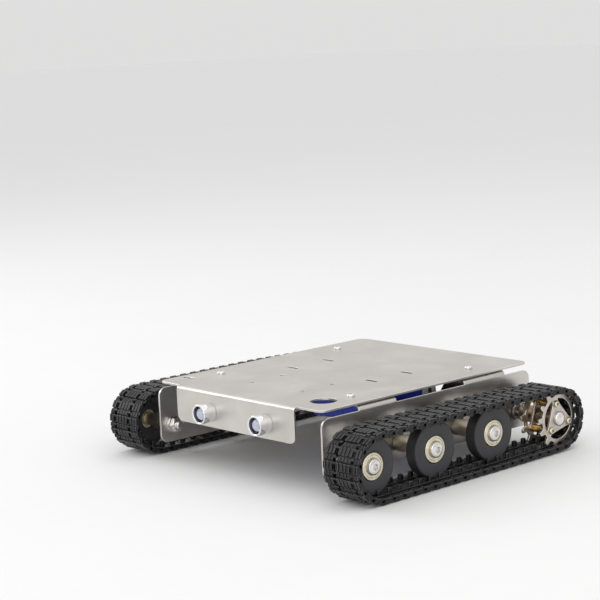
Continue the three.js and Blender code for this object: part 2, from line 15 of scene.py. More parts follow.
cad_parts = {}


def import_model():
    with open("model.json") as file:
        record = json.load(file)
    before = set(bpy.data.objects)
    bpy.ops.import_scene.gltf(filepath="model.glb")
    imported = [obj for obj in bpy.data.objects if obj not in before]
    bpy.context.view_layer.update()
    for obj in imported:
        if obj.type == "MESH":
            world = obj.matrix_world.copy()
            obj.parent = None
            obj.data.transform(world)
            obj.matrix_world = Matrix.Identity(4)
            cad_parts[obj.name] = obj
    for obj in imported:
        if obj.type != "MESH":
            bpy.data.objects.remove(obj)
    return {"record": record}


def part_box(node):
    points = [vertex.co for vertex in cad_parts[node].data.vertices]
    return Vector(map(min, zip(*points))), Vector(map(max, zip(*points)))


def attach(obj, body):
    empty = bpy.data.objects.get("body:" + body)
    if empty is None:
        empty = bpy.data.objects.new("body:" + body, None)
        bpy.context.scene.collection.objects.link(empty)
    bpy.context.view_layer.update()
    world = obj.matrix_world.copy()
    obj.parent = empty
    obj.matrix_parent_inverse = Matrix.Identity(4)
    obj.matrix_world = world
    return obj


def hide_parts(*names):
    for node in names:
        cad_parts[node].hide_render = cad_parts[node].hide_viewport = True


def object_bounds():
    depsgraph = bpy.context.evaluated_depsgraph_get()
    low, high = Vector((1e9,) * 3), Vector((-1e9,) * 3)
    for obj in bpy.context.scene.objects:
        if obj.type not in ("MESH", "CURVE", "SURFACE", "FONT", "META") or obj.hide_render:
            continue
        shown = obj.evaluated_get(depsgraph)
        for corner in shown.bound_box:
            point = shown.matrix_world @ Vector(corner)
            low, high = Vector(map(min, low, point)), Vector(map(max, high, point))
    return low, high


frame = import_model()
cad_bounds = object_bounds()

MM = 0.001
SHEET = 1.5             # stainless sheet thickness
DECK_BEND = 3.0         # outside radius of the bumper fold
WALL_BEND = 4.0         # outside radius of the wall's top fold
LINK_COUNT = 51
TOOTH_COUNT = 13
TOOTH_ANGLE = 176.3     # where one tooth stands, seen from the left
PIN_DEPTH = 2.0         # belt's inner face to its hinge line
WINDOW_GAP = 0.55       # room beside a sprocket plate in the links' windows
HORN_SPANS = ((119.8, 121.4), (101.0, 103.8))    # x of the guide horns on each link
GUIDE_HEIGHT = 3.3      # how far a horn stands in from the belt's inner face, clear of the posts
POST_CIRCLE = 11.0      # radius the sprocket's three posts stand on
POST_ANGLES = (102, 222, 342)

BUMPER_HALF = 61        # half the bumper's width
DECK_CORNER = 6
LAMP_HOLE = 4.3         # radius
CABLE_HOLE = (62, -76, 9)
SCREW_X = 67
SCREW_Y = (-56, 60)
SCREW_HOLE = 1.8        # radius
FLANGE_SPANS = ((-66, -31), (36, 78))            # y of the wall's two folded flanges
SPACER_STEP = 102       # x where an axle spacer narrows
PACK_CORNER = 8         # radius of the battery's long edges
LABEL_START = 15        # y where the battery's plain label band starts
LABEL_STRIPE = (21, 24)                          # y of the dark stripe across it

BODY_OF = {
    node: body
    for body, nodes in frame["record"]["behaviour"]["bodies"].items()
    for node in nodes
}


def node_box(node):
    """Lowest and highest corner of a CAD node, in millimetres."""
    low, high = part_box(node)
    return low / MM, high / MM


def node_centre(node):
    low, high = node_box(node)
    return (low + high) / 2


# ------------------------------------------------------------------ materials
def surface(name, light, dark, rough, fine, relief=0.0, patch=45, spread=0.06, metallic=0.0,
            turned=False, worn_and_highlit=None, **sockets):
    """A procedural finish. light and dark are the two tones that the patches and the grain run
    between, fine is the grain's scale along x, y and z per metre, relief its depth in mm, and
    worn_and_highlit the lighter tone that chamfered edges turn to in patches, partly edge wear and
    partly a painted edge highlight. A turned finish has its grain round the local X axis."""
    material = bpy.data.materials.new(name)
    material.use_nodes = True
    tree = material.node_tree
    nodes = tree.nodes
    links = tree.links
    shader = nodes["Principled BSDF"]
    shader.inputs["Metallic"].default_value = metallic
    for socket, value in sockets.items():
        shader.inputs[socket.replace("_", " ")].default_value = value
    place_at = nodes.new("ShaderNodeTexCoord").outputs["Object"]

    grain_at = place_at
    if turned:
        split = nodes.new("ShaderNodeSeparateXYZ")
        links.new(place_at, split.inputs[0])
        flat = nodes.new("ShaderNodeCombineXYZ")
        links.new(split.outputs["Y"], flat.inputs["Y"])
        links.new(split.outputs["Z"], flat.inputs["Z"])
        length = nodes.new("ShaderNodeVectorMath")
        length.operation = "LENGTH"
        links.new(flat.outputs[0], length.inputs[0])
        turned_at = nodes.new("ShaderNodeCombineXYZ")
        links.new(split.outputs["X"], turned_at.inputs["X"])
        links.new(length.outputs["Value"], turned_at.inputs["Y"])
        grain_at = turned_at.outputs[0]
    stretch = nodes.new("ShaderNodeMapping")
    stretch.inputs["Scale"].default_value = fine
    links.new(grain_at, stretch.inputs["Vector"])
    grain = nodes.new("ShaderNodeTexNoise")
    grain.inputs["Scale"].default_value = 1.0
    grain.inputs["Detail"].default_value = 4.0
    links.new(stretch.outputs[0], grain.inputs["Vector"])
    patches = nodes.new("ShaderNodeTexNoise")
    patches.inputs["Scale"].default_value = patch
    patches.inputs["Detail"].default_value = 3.0
    patches.inputs["Distortion"].default_value = 0.6
    links.new(place_at, patches.inputs["Vector"])

    both = nodes.new("ShaderNodeMath")
    both.operation = "MULTIPLY_ADD"
    both.inputs[1].default_value = 0.45
    links.new(grain.outputs["Fac"], both.inputs[0])
    halved = nodes.new("ShaderNodeMath")
    halved.operation = "MULTIPLY"
    halved.inputs[1].default_value = 0.55
    links.new(patches.outputs["Fac"], halved.inputs[0])
    links.new(halved.outputs[0], both.inputs[2])

    tones = nodes.new("ShaderNodeValToRGB")
    tones.color_ramp.elements[0].position = 0.36
    tones.color_ramp.elements[0].color = (*dark, 1)
    tones.color_ramp.elements[1].position = 0.64
    tones.color_ramp.elements[1].color = (*light, 1)
    links.new(both.outputs[0], tones.inputs[0])
    colour = tones.outputs[0]
    # Chamfered edges turn to the lighter edge tone in patches: partly edge wear, partly a painted edge
    # highlight.
    if worn_and_highlit:
        edge = nodes.new("ShaderNodeAttribute")
        edge.attribute_name = "edge_wear_and_highlight"
        wear_and_highlight_mask = nodes.new("ShaderNodeMath")
        wear_and_highlight_mask.operation = "MULTIPLY"
        links.new(edge.outputs["Fac"], wear_and_highlight_mask.inputs[0])
        links.new(patches.outputs["Fac"], wear_and_highlight_mask.inputs[1])
        blend = nodes.new("ShaderNodeMix")
        blend.data_type = "RGBA"
        links.new(wear_and_highlight_mask.outputs[0], blend.inputs[0])
        links.new(colour, blend.inputs[6])
        blend.inputs[7].default_value = (*worn_and_highlit, 1)
        colour = blend.outputs[2]
    links.new(colour, shader.inputs["Base Color"])

    shine = nodes.new("ShaderNodeMapRange")
    shine.inputs["From Min"].default_value = 0.3
    shine.inputs["From Max"].default_value = 0.7
    shine.inputs["To Min"].default_value = max(0.02, rough - spread)
    shine.inputs["To Max"].default_value = rough + spread
    links.new(both.outputs[0], shine.inputs["Value"])
    links.new(shine.outputs[0], shader.inputs["Roughness"])
    if relief:
        bump = nodes.new("ShaderNodeBump")
        bump.inputs["Distance"].default_value = relief * MM
        bump.inputs["Strength"].default_value = 1.0
        links.new(grain.outputs["Fac"], bump.inputs["Height"])
        links.new(bump.outputs[0], shader.inputs["Normal"])
    return material


# The worn tones below are the lighter chamfer-edge tones: partly edge wear, partly a painted edge
# highlight.
DECK_STEEL = surface("satin_brushed_steel", (0.68, 0.65, 0.61), (0.55, 0.525, 0.49), 0.36,
                     (2500, 60, 2500), relief=0.0010, patch=28, spread=0.05, metallic=1.0,
                     worn_and_highlit=(0.94, 0.93, 0.92))
WALL_STEEL = surface("brushed_steel", (0.66, 0.635, 0.60), (0.54, 0.515, 0.48), 0.32,
                     (2500, 60, 2500), relief=0.0012, patch=34, spread=0.06, metallic=1.0,
                     worn_and_highlit=(0.92, 0.90, 0.87))
PLATE_STEEL = surface("stamped_steel", (0.64, 0.59, 0.54), (0.44, 0.40, 0.36), 0.33,
                      (1400, 300, 1400), relief=0.003, patch=160, metallic=1.0,
                      worn_and_highlit=(0.86, 0.82, 0.77))
BRIGHT_STEEL = surface("bright_steel", (0.86, 0.84, 0.82), (0.66, 0.63, 0.62), 0.16,
                       (900, 5000, 1), relief=0.002, patch=260, metallic=1.0, turned=True)
BEARING_STEEL = surface("bearing_steel", (0.83, 0.78, 0.64), (0.58, 0.53, 0.40), 0.24,
                        (600, 4200, 1), relief=0.003, patch=220, metallic=1.0, turned=True)
SPACER_METAL = surface("spacer_aluminium", (0.62, 0.56, 0.46), (0.44, 0.38, 0.30), 0.38,
                       (5200, 900, 1), relief=0.004, patch=150, metallic=1.0, turned=True)
BRASS = surface("brass", (0.88, 0.58, 0.22), (0.58, 0.34, 0.10), 0.22,
                (4200, 900, 1), relief=0.003, patch=200, metallic=1.0, turned=True)
HUB_METAL = surface("aged_brass", (0.46, 0.36, 0.24), (0.27, 0.20, 0.13), 0.32,
                    (3600, 900, 1), relief=0.003, patch=150, metallic=1.0, turned=True)
NYLON = surface("wheel_nylon", (0.036, 0.036, 0.040), (0.024, 0.024, 0.027), 0.50,
                (2600, 2600, 2600), relief=0.012, patch=130, spread=0.07)
TRACK_PLASTIC = surface("track_plastic", (0.013, 0.013, 0.014), (0.005, 0.005, 0.0055), 0.36,
                        (1900, 1900, 1900), relief=0.015, patch=210, spread=0.08,
                        worn_and_highlit=(0.12, 0.12, 0.125), Specular_IOR_Level=0.28)
GEARBOX_METAL = surface("gearbox_metal", (0.55, 0.53, 0.50), (0.32, 0.30, 0.28), 0.30,
                        (3600, 900, 1), relief=0.004, patch=120, metallic=1.0, turned=True)
MOTOR_METAL = surface("motor_can_metal", (0.055, 0.057, 0.062), (0.030, 0.031, 0.035), 0.40,
                      (3000, 700, 1), relief=0.003, patch=90, metallic=1.0, turned=True)
CHROME = surface("lamp_chrome", (0.88, 0.88, 0.90), (0.72, 0.72, 0.75), 0.06,
                 (400, 2500, 1), relief=0.0006, patch=200, spread=0.03, metallic=1.0, turned=True)
RIM_METAL = surface("lamp_rim", (0.24, 0.24, 0.27), (0.10, 0.10, 0.12), 0.25,
                    (400, 3500, 1), relief=0.002, patch=300, metallic=1.0, turned=True)
LENS = surface("lamp_lens", (0.88, 0.90, 0.98), (0.74, 0.78, 0.94), 0.05,
               (500, 500, 500), relief=0.001, patch=260, spread=0.03,
               Transmission_Weight=0.55, IOR=1.5)
WRAP = surface("battery_wrap", (0.008, 0.040, 0.56), (0.004, 0.020, 0.34), 0.30,
               (260, 60, 260), relief=0.12, patch=60, spread=0.08, Specular_IOR_Level=0.3)
LABEL = surface("battery_label", (0.80, 0.80, 0.80), (0.66, 0.66, 0.67), 0.38,
                (500, 500, 500), relief=0.01, patch=80)
LABEL_INK = surface("label_ink", (0.030, 0.030, 0.032), (0.016, 0.016, 0.018), 0.36,
                    (900, 900, 900), relief=0.005, patch=120)
FOAM = surface("foam", (0.050, 0.050, 0.052), (0.018, 0.018, 0.020), 0.92,
               (1300, 1300, 1300), relief=0.25, patch=200)


# ------------------------------------------------------------------ outlines
def corners(points, steps=5):
    """Closed outline through (u, v, radius) corners, each rounded by an arc of its own radius."""
    outline = []
    count = len(points)
    for i, (u, v, radius) in enumerate(points):
        here = Vector((u, v))
        back = Vector(points[i - 1][:2]) - here
        ahead = Vector(points[(i + 1) % count][:2]) - here
        if radius <= 0:
            outline.append(here)
            continue
        half = back.angle(ahead) / 2
        reach = radius / math.tan(half)
        centre = here + (back.normalized() + ahead.normalized()).normalized() * radius / math.sin(half)
        start = here + back.normalized() * reach - centre
        end = here + ahead.normalized() * reach - centre
        turn = start.angle_signed(end)
        for k in range(steps + 1):
            outline.append(centre + Matrix.Rotation(-turn * k / steps, 2) @ start)
    return outline


def rectangle(u0, u1, v0, v1, radius, steps=5):
    return corners([(u0, v0, radius), (u1, v0, radius), (u1, v1, radius), (u0, v1, radius)], steps)


def circle(u, v, radius, count=32):
    return [
        Vector((u + radius * math.cos(a), v + radius * math.sin(a)))
        for a in (2 * math.pi * k / count for k in range(count))
    ]


def signed_area(outline):
    return sum(a.x * b.y - b.x * a.y for a, b in zip(outline, outline[1:] + outline[:1])) / 2


def moved_in(outline, distance):
    """The outline moved sideways into the material, which lies on its left."""
    result = []
    for i, here in enumerate(outline):
        before = (here - outline[i - 1]).normalized()
        after = (outline[(i + 1) % len(outline)] - here).normalized()
        normal = Vector((-before.y - after.y, before.x + after.x)).normalized()
        square = Vector((-after.y, after.x))
        result.append(here + normal * distance / max(0.5, normal.dot(square)))
    return result


# ------------------------------------------------------------------ shapes: (vertices, faces, edge mask), the mask marking the chamfer faces painted with the lighter tone of edge wear and edge highlight
def plate(rim, holes, thickness, chamfer=0.18):
    """Flat sheet in (u, v, h) with h from -thickness/2 to +thickness/2 and broken edges."""
    loops = [rim if signed_area(rim) > 0 else rim[::-1]]
    loops += [hole if signed_area(hole) < 0 else hole[::-1] for hole in holes]
    half = thickness / 2
    levels = [(chamfer, -half), (0, chamfer - half), (0, half - chamfer), (chamfer, half)]
    rings = []
    vertices = []
    for inset, height in levels:
        level = []
        for loop in loops:
            edge = moved_in(loop, inset) if inset else loop
            level.append(list(range(len(vertices), len(vertices) + len(edge))))
            vertices += [Vector((p.x, p.y, height)) for p in edge]
        rings.append(level)
    faces = []
    edge_wear_and_highlight = []
    # Chamfer bands are marked 1 for the lighter edge tone: edge wear and a painted edge highlight.
    for lower, upper, worn_and_highlit in zip(rings, rings[1:], (1, 0, 1)):
        for a, b in zip(lower, upper):
            for i in range(len(a)):
                j = (i + 1) % len(a)
                faces.append([a[i], a[j], b[j], b[i]])
                edge_wear_and_highlight.append(worn_and_highlit)
    flat = [[vertices[i] for i in ring] for ring in rings[-1]]
    top = [i for ring in rings[-1] for i in ring]
    bottom = [i for ring in rings[0] for i in ring]
    for triangle in tessellate_polygon(flat):
        faces.append([top[i] for i in triangle])
        faces.append([bottom[i] for i in reversed(triangle)])
        edge_wear_and_highlight += [0, 0]
    return vertices, faces, edge_wear_and_highlight


def cut_across(shape, axis, places):
    """The same shape with extra edges where it crosses the given places along one axis."""
    vertices, faces, edge_wear_and_highlight = shape
    mesh = bmesh.new()
    # Carries the mask of chamfer faces painted with the lighter edge tone: edge wear and a painted edge
    # highlight.
    layer = mesh.faces.layers.float.new("edge_wear_and_highlight")
    made = [mesh.verts.new(v) for v in vertices]
    for corner_list, worn_and_highlit in zip(faces, edge_wear_and_highlight):
        mesh.faces.new([made[i] for i in corner_list])[layer] = worn_and_highlit
    normal = Vector((0, 0, 0))
    normal[axis] = 1
    for place_along in places:
        geometry = mesh.verts[:] + mesh.edges[:] + mesh.faces[:]
        bmesh.ops.bisect_plane(mesh, geom=geometry, plane_co=normal * place_along, plane_no=normal)
    mesh.verts.index_update()
    result = (
        [v.co.copy() for v in mesh.verts],
        [[v.index for v in face.verts] for face in mesh.faces],
        [face[layer] for face in mesh.faces],
    )
    mesh.free()
    return result


def mapped(shape, function):
    vertices, faces, edge_wear_and_highlight = shape
    return [Vector(function(v)) for v in vertices], faces, edge_wear_and_highlight


def joined(*shapes):
    vertices = []
    faces = []
    edge_wear_and_highlight = []
    for some_vertices, some_faces, some_wear in shapes:
        start = len(vertices)
        vertices += some_vertices
        faces += [[i + start for i in face] for face in some_faces]
        edge_wear_and_highlight += some_wear
    return vertices, faces, edge_wear_and_highlight


def softened(profile, radius=0.25, steps=3):
    """A profile with each corner off the axis turned into a short curve."""
    closed = profile[0] == profile[-1]
    points = profile[:-1] if closed else profile
    result = []
    for i, point in enumerate(points):
        here = Vector(point[:2])
        if not closed and i in (0, len(points) - 1):
            result.append(point)
            continue
        back = Vector(points[i - 1][:2]) - here
        ahead = Vector(points[(i + 1) % len(points)][:2]) - here
        reach = min(radius, 0.4 * back.length, 0.4 * ahead.length)
        start = here + back.normalized() * reach
        end = here + ahead.normalized() * reach
        for k in range(steps + 1):
            t = k / steps
            curve = start * (1 - t) ** 2 + here * 2 * t * (1 - t) + end * t * t
            result.append((curve.x, curve.y, *point[2:]))
    return result + result[:1] if closed else result


HEX = "hex"             # marks a profile point whose ring is a hexagon


def turned(profile, segments=72):
    """Solid turned about local X from (x, radius) points; it closes on the axis or on itself."""
    vertices = []
    rings = []
    closed = profile[0] == profile[-1]
    for x, radius, *kind in profile[:-1] if closed else profile:
        if radius < 1e-6:
            rings.append([len(vertices)])
            vertices.append(Vector((x, 0, 0)))
            continue
        rings.append(list(range(len(vertices), len(vertices) + segments)))
        for k in range(segments):
            angle = 2 * math.pi * k / segments
            reach = radius
            if kind:
                reach = radius / math.cos((angle % (math.pi / 3)) - math.pi / 6)
            vertices.append(Vector((x, reach * math.cos(angle), reach * math.sin(angle))))
    if closed:
        rings.append(rings[0])
    faces = []
    for a, b in zip(rings, rings[1:]):
        for k in range(segments):
            j = (k + 1) % segments
            if len(a) == 1 and len(b) == 1:
                break
            if len(a) == 1:
                faces.append([a[0], b[j], b[k]])
            elif len(b) == 1:
                faces.append([a[k], a[j], b[0]])
            else:
                faces.append([a[k], a[j], b[j], b[k]])
    return vertices, faces, [0] * len(faces)


def block(x0, x1, u0, u1, n0, n1, chamfer=0.35, narrow=0.0):
    """Chamfered box in (x, u, n); its outer end is narrowed by that much on every side."""
    mesh = bmesh.new()
    bmesh.ops.create_cube(mesh, size=1)
    for v in mesh.verts:
        tip = v.co.z > 0
        v.co.x = (x0 + x1) / 2 + v.co.x * (x1 - x0 - 2 * narrow * tip)
        v.co.y = (u0 + u1) / 2 + v.co.y * (u1 - u0 - 2 * narrow * tip)
        v.co.z = (n0 + n1) / 2 + v.co.z * (n1 - n0)
    # The chamfer faces are marked for the lighter edge tone: edge wear and a painted edge highlight.
    cut = bmesh.ops.bevel(mesh, geom=mesh.edges[:], offset=chamfer, segments=1, affect="EDGES")
    worn_and_highlit = set(cut["faces"])
    mesh.verts.index_update()
    shape = (
        [v.co.copy() for v in mesh.verts],
        [[v.index for v in face.verts] for face in mesh.faces],
        [float(face in worn_and_highlit) for face in mesh.faces],
    )
    mesh.free()
    return shape


# ------------------------------------------------------------------ placing
def place(name, shape, material, node, centre=(0, 0, 0), mirror=False):
    """Makes the object in metres, has it stand for a CAD node and ride on that node's body."""
    vertices, faces, edge_wear_and_highlight = shape
    centre = Vector(centre)
    if mirror:
        vertices = [Vector((-v.x, v.y, v.z)) for v in vertices]
        faces = [face[::-1] for face in faces]
        centre = Vector((-centre.x, centre.y, centre.z))
    mesh = bpy.data.meshes.new(name)
    mesh.from_pydata([v * MM for v in vertices], [], faces)
    # Per-face mask of the chamfers that the materials paint lighter: edge wear and a painted edge
    # highlight.
    mesh.attributes.new("edge_wear_and_highlight", "FLOAT", "FACE").data.foreach_set("value", edge_wear_and_highlight)
    tidy = bmesh.new()
    tidy.from_mesh(mesh)
    bmesh.ops.recalc_face_normals(tidy, faces=tidy.faces[:])
    tidy.to_mesh(mesh)
    tidy.free()
    mesh.shade_smooth()
    mesh.set_sharp_from_angle(angle=math.radians(32))
    mesh.materials.append(material)
    piece = bpy.data.objects.new(name, mesh)
    piece.location = centre * MM
    bpy.context.scene.collection.objects.link(piece)
    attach(piece, BODY_OF[node])
    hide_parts(node)
    return piece


def place_pair(label, shape, material, centre=(0, 0, 0), part="piece"):
    for side in ("left", "right"):
        node = f"{side}_{label}"
        place(f"{node}_{part}", shape, material, node, centre, mirror=side == "right")


# ------------------------------------------------------------------ deck with folded bumper
def fold_down(point, edge, mid_height, radius):
    """Bends a flat (x, y, h) sheet down where y runs past edge towards -Y."""
    x, y, h = point
    length = radius * math.pi / 2
    past = edge - y
    if past <= 0:
        return x, y, mid_height + h
    if past < length:
        angle = past / radius
        reach = radius + h
        return x, edge - reach * math.sin(angle), mid_height - radius + reach * math.cos(angle)
    return x, edge - radius - h, mid_height - radius - (past - length)


def deck():
    low, high = node_box("deck_and_bumper_sheet")
    edge = low.y + DECK_BEND
    radius = DECK_BEND - SHEET / 2
    bend = radius * math.pi / 2
    mid_height = high.z - SHEET / 2
    bumper_end = edge - bend - (high.z - DECK_BEND - low.z)
    rim = corners([
        (-BUMPER_HALF, edge, 0.6), (-BUMPER_HALF, bumper_end, 5), (BUMPER_HALF, bumper_end, 5),
        (BUMPER_HALF, edge, 0.6), (high.x, edge, DECK_CORNER), (high.x, high.y, DECK_CORNER),
        (low.x, high.y, DECK_CORNER), (low.x, edge, DECK_CORNER),
    ], 7)
    holes = [circle(*CABLE_HOLE, 48), rectangle(-81, -70, -81, -77, 1.95)]
    for side in (-1, 1):
        holes += [circle(side * SCREW_X, y, SCREW_HOLE) for y in SCREW_Y]
        holes += [rectangle(side * 40 - 6, side * 40 + 6, y - 1.7, y + 1.7, 1.65) for y in (-10, 25)]
        holes += [circle(side * 26, y, 1.7) for y in (-62, -34)]
    for side in ("left", "right"):
        lamp = node_centre(f"{side}_headlight_lens")
        holes.append(circle(lamp.x, edge - bend - (high.z - DECK_BEND - lamp.z), LAMP_HOLE))
    flat = plate(rim, holes, SHEET)
    steps = 8
    flat = cut_across(flat, 1, [edge - bend * k / steps for k in range(steps + 1)])
    shape = mapped(flat, lambda p: fold_down(p, edge, mid_height, radius))
    place("deck_and_bumper", shape, DECK_STEEL, "deck_and_bumper_sheet")


deck()


# ------------------------------------------------------------------ side walls
def fold_in(point, edge, mid_x, radius):
    """Bends a flat (y, z, h) wall inward where z runs past edge."""
    y, z, h = point
    length = radius * math.pi / 2
    past = z - edge
    if past <= 0:
        return mid_x + h, y, z
    if past < length:
        angle = past / radius
        return mid_x - radius + (radius + h) * math.cos(angle), y, edge + (radius + h) * math.sin(angle)
    return mid_x - radius - (past - length), y, edge + radius + h


def side_walls():
    low, high = node_box("left_side_wall")
    radius = WALL_BEND - SHEET / 2
    edge = high.z - WALL_BEND
    top = edge + 0.3
    flange = edge + radius * math.pi / 2 + (high.x - WALL_BEND - low.x)
    points = [(low.y, low.z, 6), (high.y, low.z, 6), (high.y, top, 6)]
    for y0, y1 in reversed(FLANGE_SPANS):
        points += [(y1, top, 0.5), (y1, flange, 2), (y0, flange, 2), (y0, top, 0.5)]
    rim = corners([*points, (low.y, top, 6)], 7)
    holes = [circle(*axle, 3.3) for axle in AXLES.values()]
    holes.append(circle(*SHAFT, 6))
    holes += [circle(*screw, SCREW_HOLE) for screw in MOTOR_SCREWS]
    bent = radius * math.pi / 2
    screw_row = edge + bent + (high.x - WALL_BEND - SCREW_X)
    holes += [circle(y, screw_row, SCREW_HOLE) for y in SCREW_Y]
    flat = plate(rim, holes, SHEET)
    steps = 8
    flat = cut_across(flat, 1, [edge + bent * k / steps for k in range(steps + 1)])
    mid_x = high.x - SHEET / 2
    shape = mapped(flat, lambda p: fold_in(p, edge, mid_x, radius))
    place_pair("side_wall", shape, WALL_STEEL)


def yz(node):
    centre = node_centre(node)
    return centre.y, centre.z


AXLES = {name: yz(f"left_{name}_wheel_bearing") for name in ("front", "middle", "rear")}
SHAFT = yz("left_sprocket_cap_screw")
MOTOR = yz("left_motor_can")
MOTOR_SCREWS = [(MOTOR[0] - 11, MOTOR[1] + 5), (MOTOR[0] + 4, MOTOR[1] + 12)]
WALL_OUTER = node_box("left_side_wall")[1].x
side_walls()


# ------------------------------------------------------------------ deck screws
def button_head(seat, radius, height, socket, shank, shank_end):
    """Screw along local X: shank down to shank_end, domed head on seat, hexagon socket."""
    floor = seat + height * 0.12
    rim = socket + 0.35
    dome = [(seat + height * (0.34 + 0.66 * math.sin(a)), rim + (radius - rim) * math.cos(a))
            for a in (math.pi / 2 * k / 7 for k in range(8))]
    return softened([(shank_end, 0), (shank_end, shank - 0.4), (shank_end + 0.5, shank), (seat, shank),
                     (seat, radius)], 0.1)[:-1] + [(seat, radius)] + dome + [
        (seat + height - 0.15, socket + 0.1, HEX), (floor, socket, HEX), (floor - 0.4, 0)]


def deck_screws():
    for place_name in ("front", "rear"):
        low, high = node_box(f"left_deck_screw_{place_name}")
        seat = node_box("deck_and_bumper_sheet")[1].z + 0.05
        profile = button_head(0, 2.9, high.z - seat, 1.1, 1.5, low.z - seat)
        shape = mapped(turned(profile, 48), lambda v: (-v.z, v.y, v.x))
        centre = ((low.x + high.x) / 2, (low.y + high.y) / 2, seat)
        place_pair(f"deck_screw_{place_name}", shape, BRIGHT_STEEL, centre)


deck_screws()


# ------------------------------------------------------------------ idler wheels
def idlers():
    for name, (y, z) in AXLES.items():
        low, high = node_box(f"left_{name}_wheel")
        width = high.x - low.x
        radius = (high.z - low.z) / 2
        bearing_low, bearing_high = node_box(f"left_{name}_wheel_bearing")
        ring = (bearing_high.z - bearing_low.z) / 2
        seat = bearing_low.x - low.x
        centre = (low.x, y, z)
        wheel = softened([
            (0, 11.5), (0, radius - 1.2), (0.5, radius), (width - 0.5, radius), (width, radius - 0.6),
            (width, ring + 1.1), (width - 0.35, ring + 0.7), (width - 0.35, ring + 0.15),
            (seat - 0.3, ring + 0.15), (seat - 0.3, 7), (1.2, 7), (1.2, 11), (0, 11.5),
        ], 0.35)
        place_pair(f"{name}_wheel", turned(wheel, 128), NYLON, centre)

        face = bearing_high.x - 0.3 - low.x
        outer = ring - 0.12
        bearing = softened([
            (seat, 3.2), (seat, outer - 0.3), (seat + 0.4, outer), (face - 0.3, outer),
            (face + 0.1, outer - 0.45), (face + 0.1, 7.9), (face - 0.25, 7.75), (face - 0.25, 7.45),
            (face - 0.05, 7.3), (face - 0.05, 5.9), (face - 0.45, 5.8), (face - 0.45, 5.5),
            (face + 0.25, 5.35), (face + 0.25, 3.2), (seat, 3.2),
        ], 0.12)
        place_pair(f"{name}_wheel_bearing", turned(bearing, 96), BEARING_STEEL, centre)

        bolt_low, bolt_high = node_box(f"left_{name}_axle_bolt_and_nut")
        head_seat = face + low.x + 0.3
        bolt = turned(button_head(head_seat, 5.45, bolt_high.x - head_seat, 1.95, 3, bolt_low.x), 72)
        bolt = mapped(bolt, lambda v: (v.x, v.y * 0.87 + v.z * 0.5, v.z * 0.87 - v.y * 0.5))
        inner_face = WALL_OUTER - SHEET
        nut = turned(softened([
            (inner_face - 5.6, 3.05), (inner_face - 5.6, 4.2), (inner_face - 5.1, 4.85, HEX),
            (inner_face - 1.9, 4.85, HEX), (inner_face - 1.5, 4.3), (inner_face - 1.5, 3.05),
            (inner_face - 5.6, 3.05)], 0.05, 1), 72)
        washer = turned(softened([
            (inner_face - 1.3, 3.2), (inner_face - 1.3, 6.2), (inner_face - 0.1, 6.2),
            (inner_face - 0.1, 3.2), (inner_face - 1.3, 3.2)], 0.2), 72)
        fastener = joined(bolt, nut, washer)
        place_pair(f"{name}_axle_bolt_and_nut", fastener, BRIGHT_STEEL, (0, y, z))

        sleeve_low, sleeve_high = node_box(f"left_{name}_axle_spacer")
        sleeve = softened([
            (sleeve_low.x, 3.3), (sleeve_low.x, 5.5), (sleeve_low.x + 0.3, 5.8), (SPACER_STEP - 0.3, 5.8),
            (SPACER_STEP, 5.5), (SPACER_STEP, 4.6), (sleeve_high.x, 4.6), (sleeve_high.x, 3.3),
            (sleeve_low.x, 3.3)], 0.2)
        spacer = turned(sleeve, 72)
        place_pair(f"{name}_axle_spacer", spacer, SPACER_METAL, (0, y, z))


idlers()


# ------------------------------------------------------------------ sprockets
def polar(radius, degrees):
    angle = math.radians(degrees)
    return radius * math.cos(angle), radius * math.sin(angle)


def toothed_rim(root, tip):
    points = []
    for i in range(TOOTH_COUNT):
        middle = TOOTH_ANGLE + i * 360 / TOOTH_COUNT
        for radius, offset, bend in ((root, -7.6, 0.8), (tip - 0.9, -4.3, 0.5), (tip, -2.9, 0.7),
                                     (tip, 2.9, 0.7), (tip - 0.9, 4.3, 0.5), (root, 7.6, 0.8)):
            points.append((*polar(radius, middle + offset), bend))
    return corners(points, 3)


def crescents(ring, tip, inset):
    """The three openings between the spider's straight sides and the ring."""
    result = []
    side = POST_CIRCLE * math.cos(math.radians(60)) + tip
    for angle in POST_ANGLES:
        middle = angle + 60
        half = math.degrees(math.acos(side / ring)) - inset
        points = [(*polar(ring, middle - half + 2 * half * k / 12), 0) for k in range(13)]
        u, v = polar(side, middle)
        along = Vector(polar(1, middle + 90))
        for shift in (0.72, -0.72):
            reach = shift * ring * math.sin(math.radians(half))
            points.append((u + along.x * reach, v + along.y * reach, 1.2))
        points[0] = (*points[0][:2], 0.5)
        points[12] = (*points[12][:2], 0.5)
        result.append(corners(points, 3))
    return result


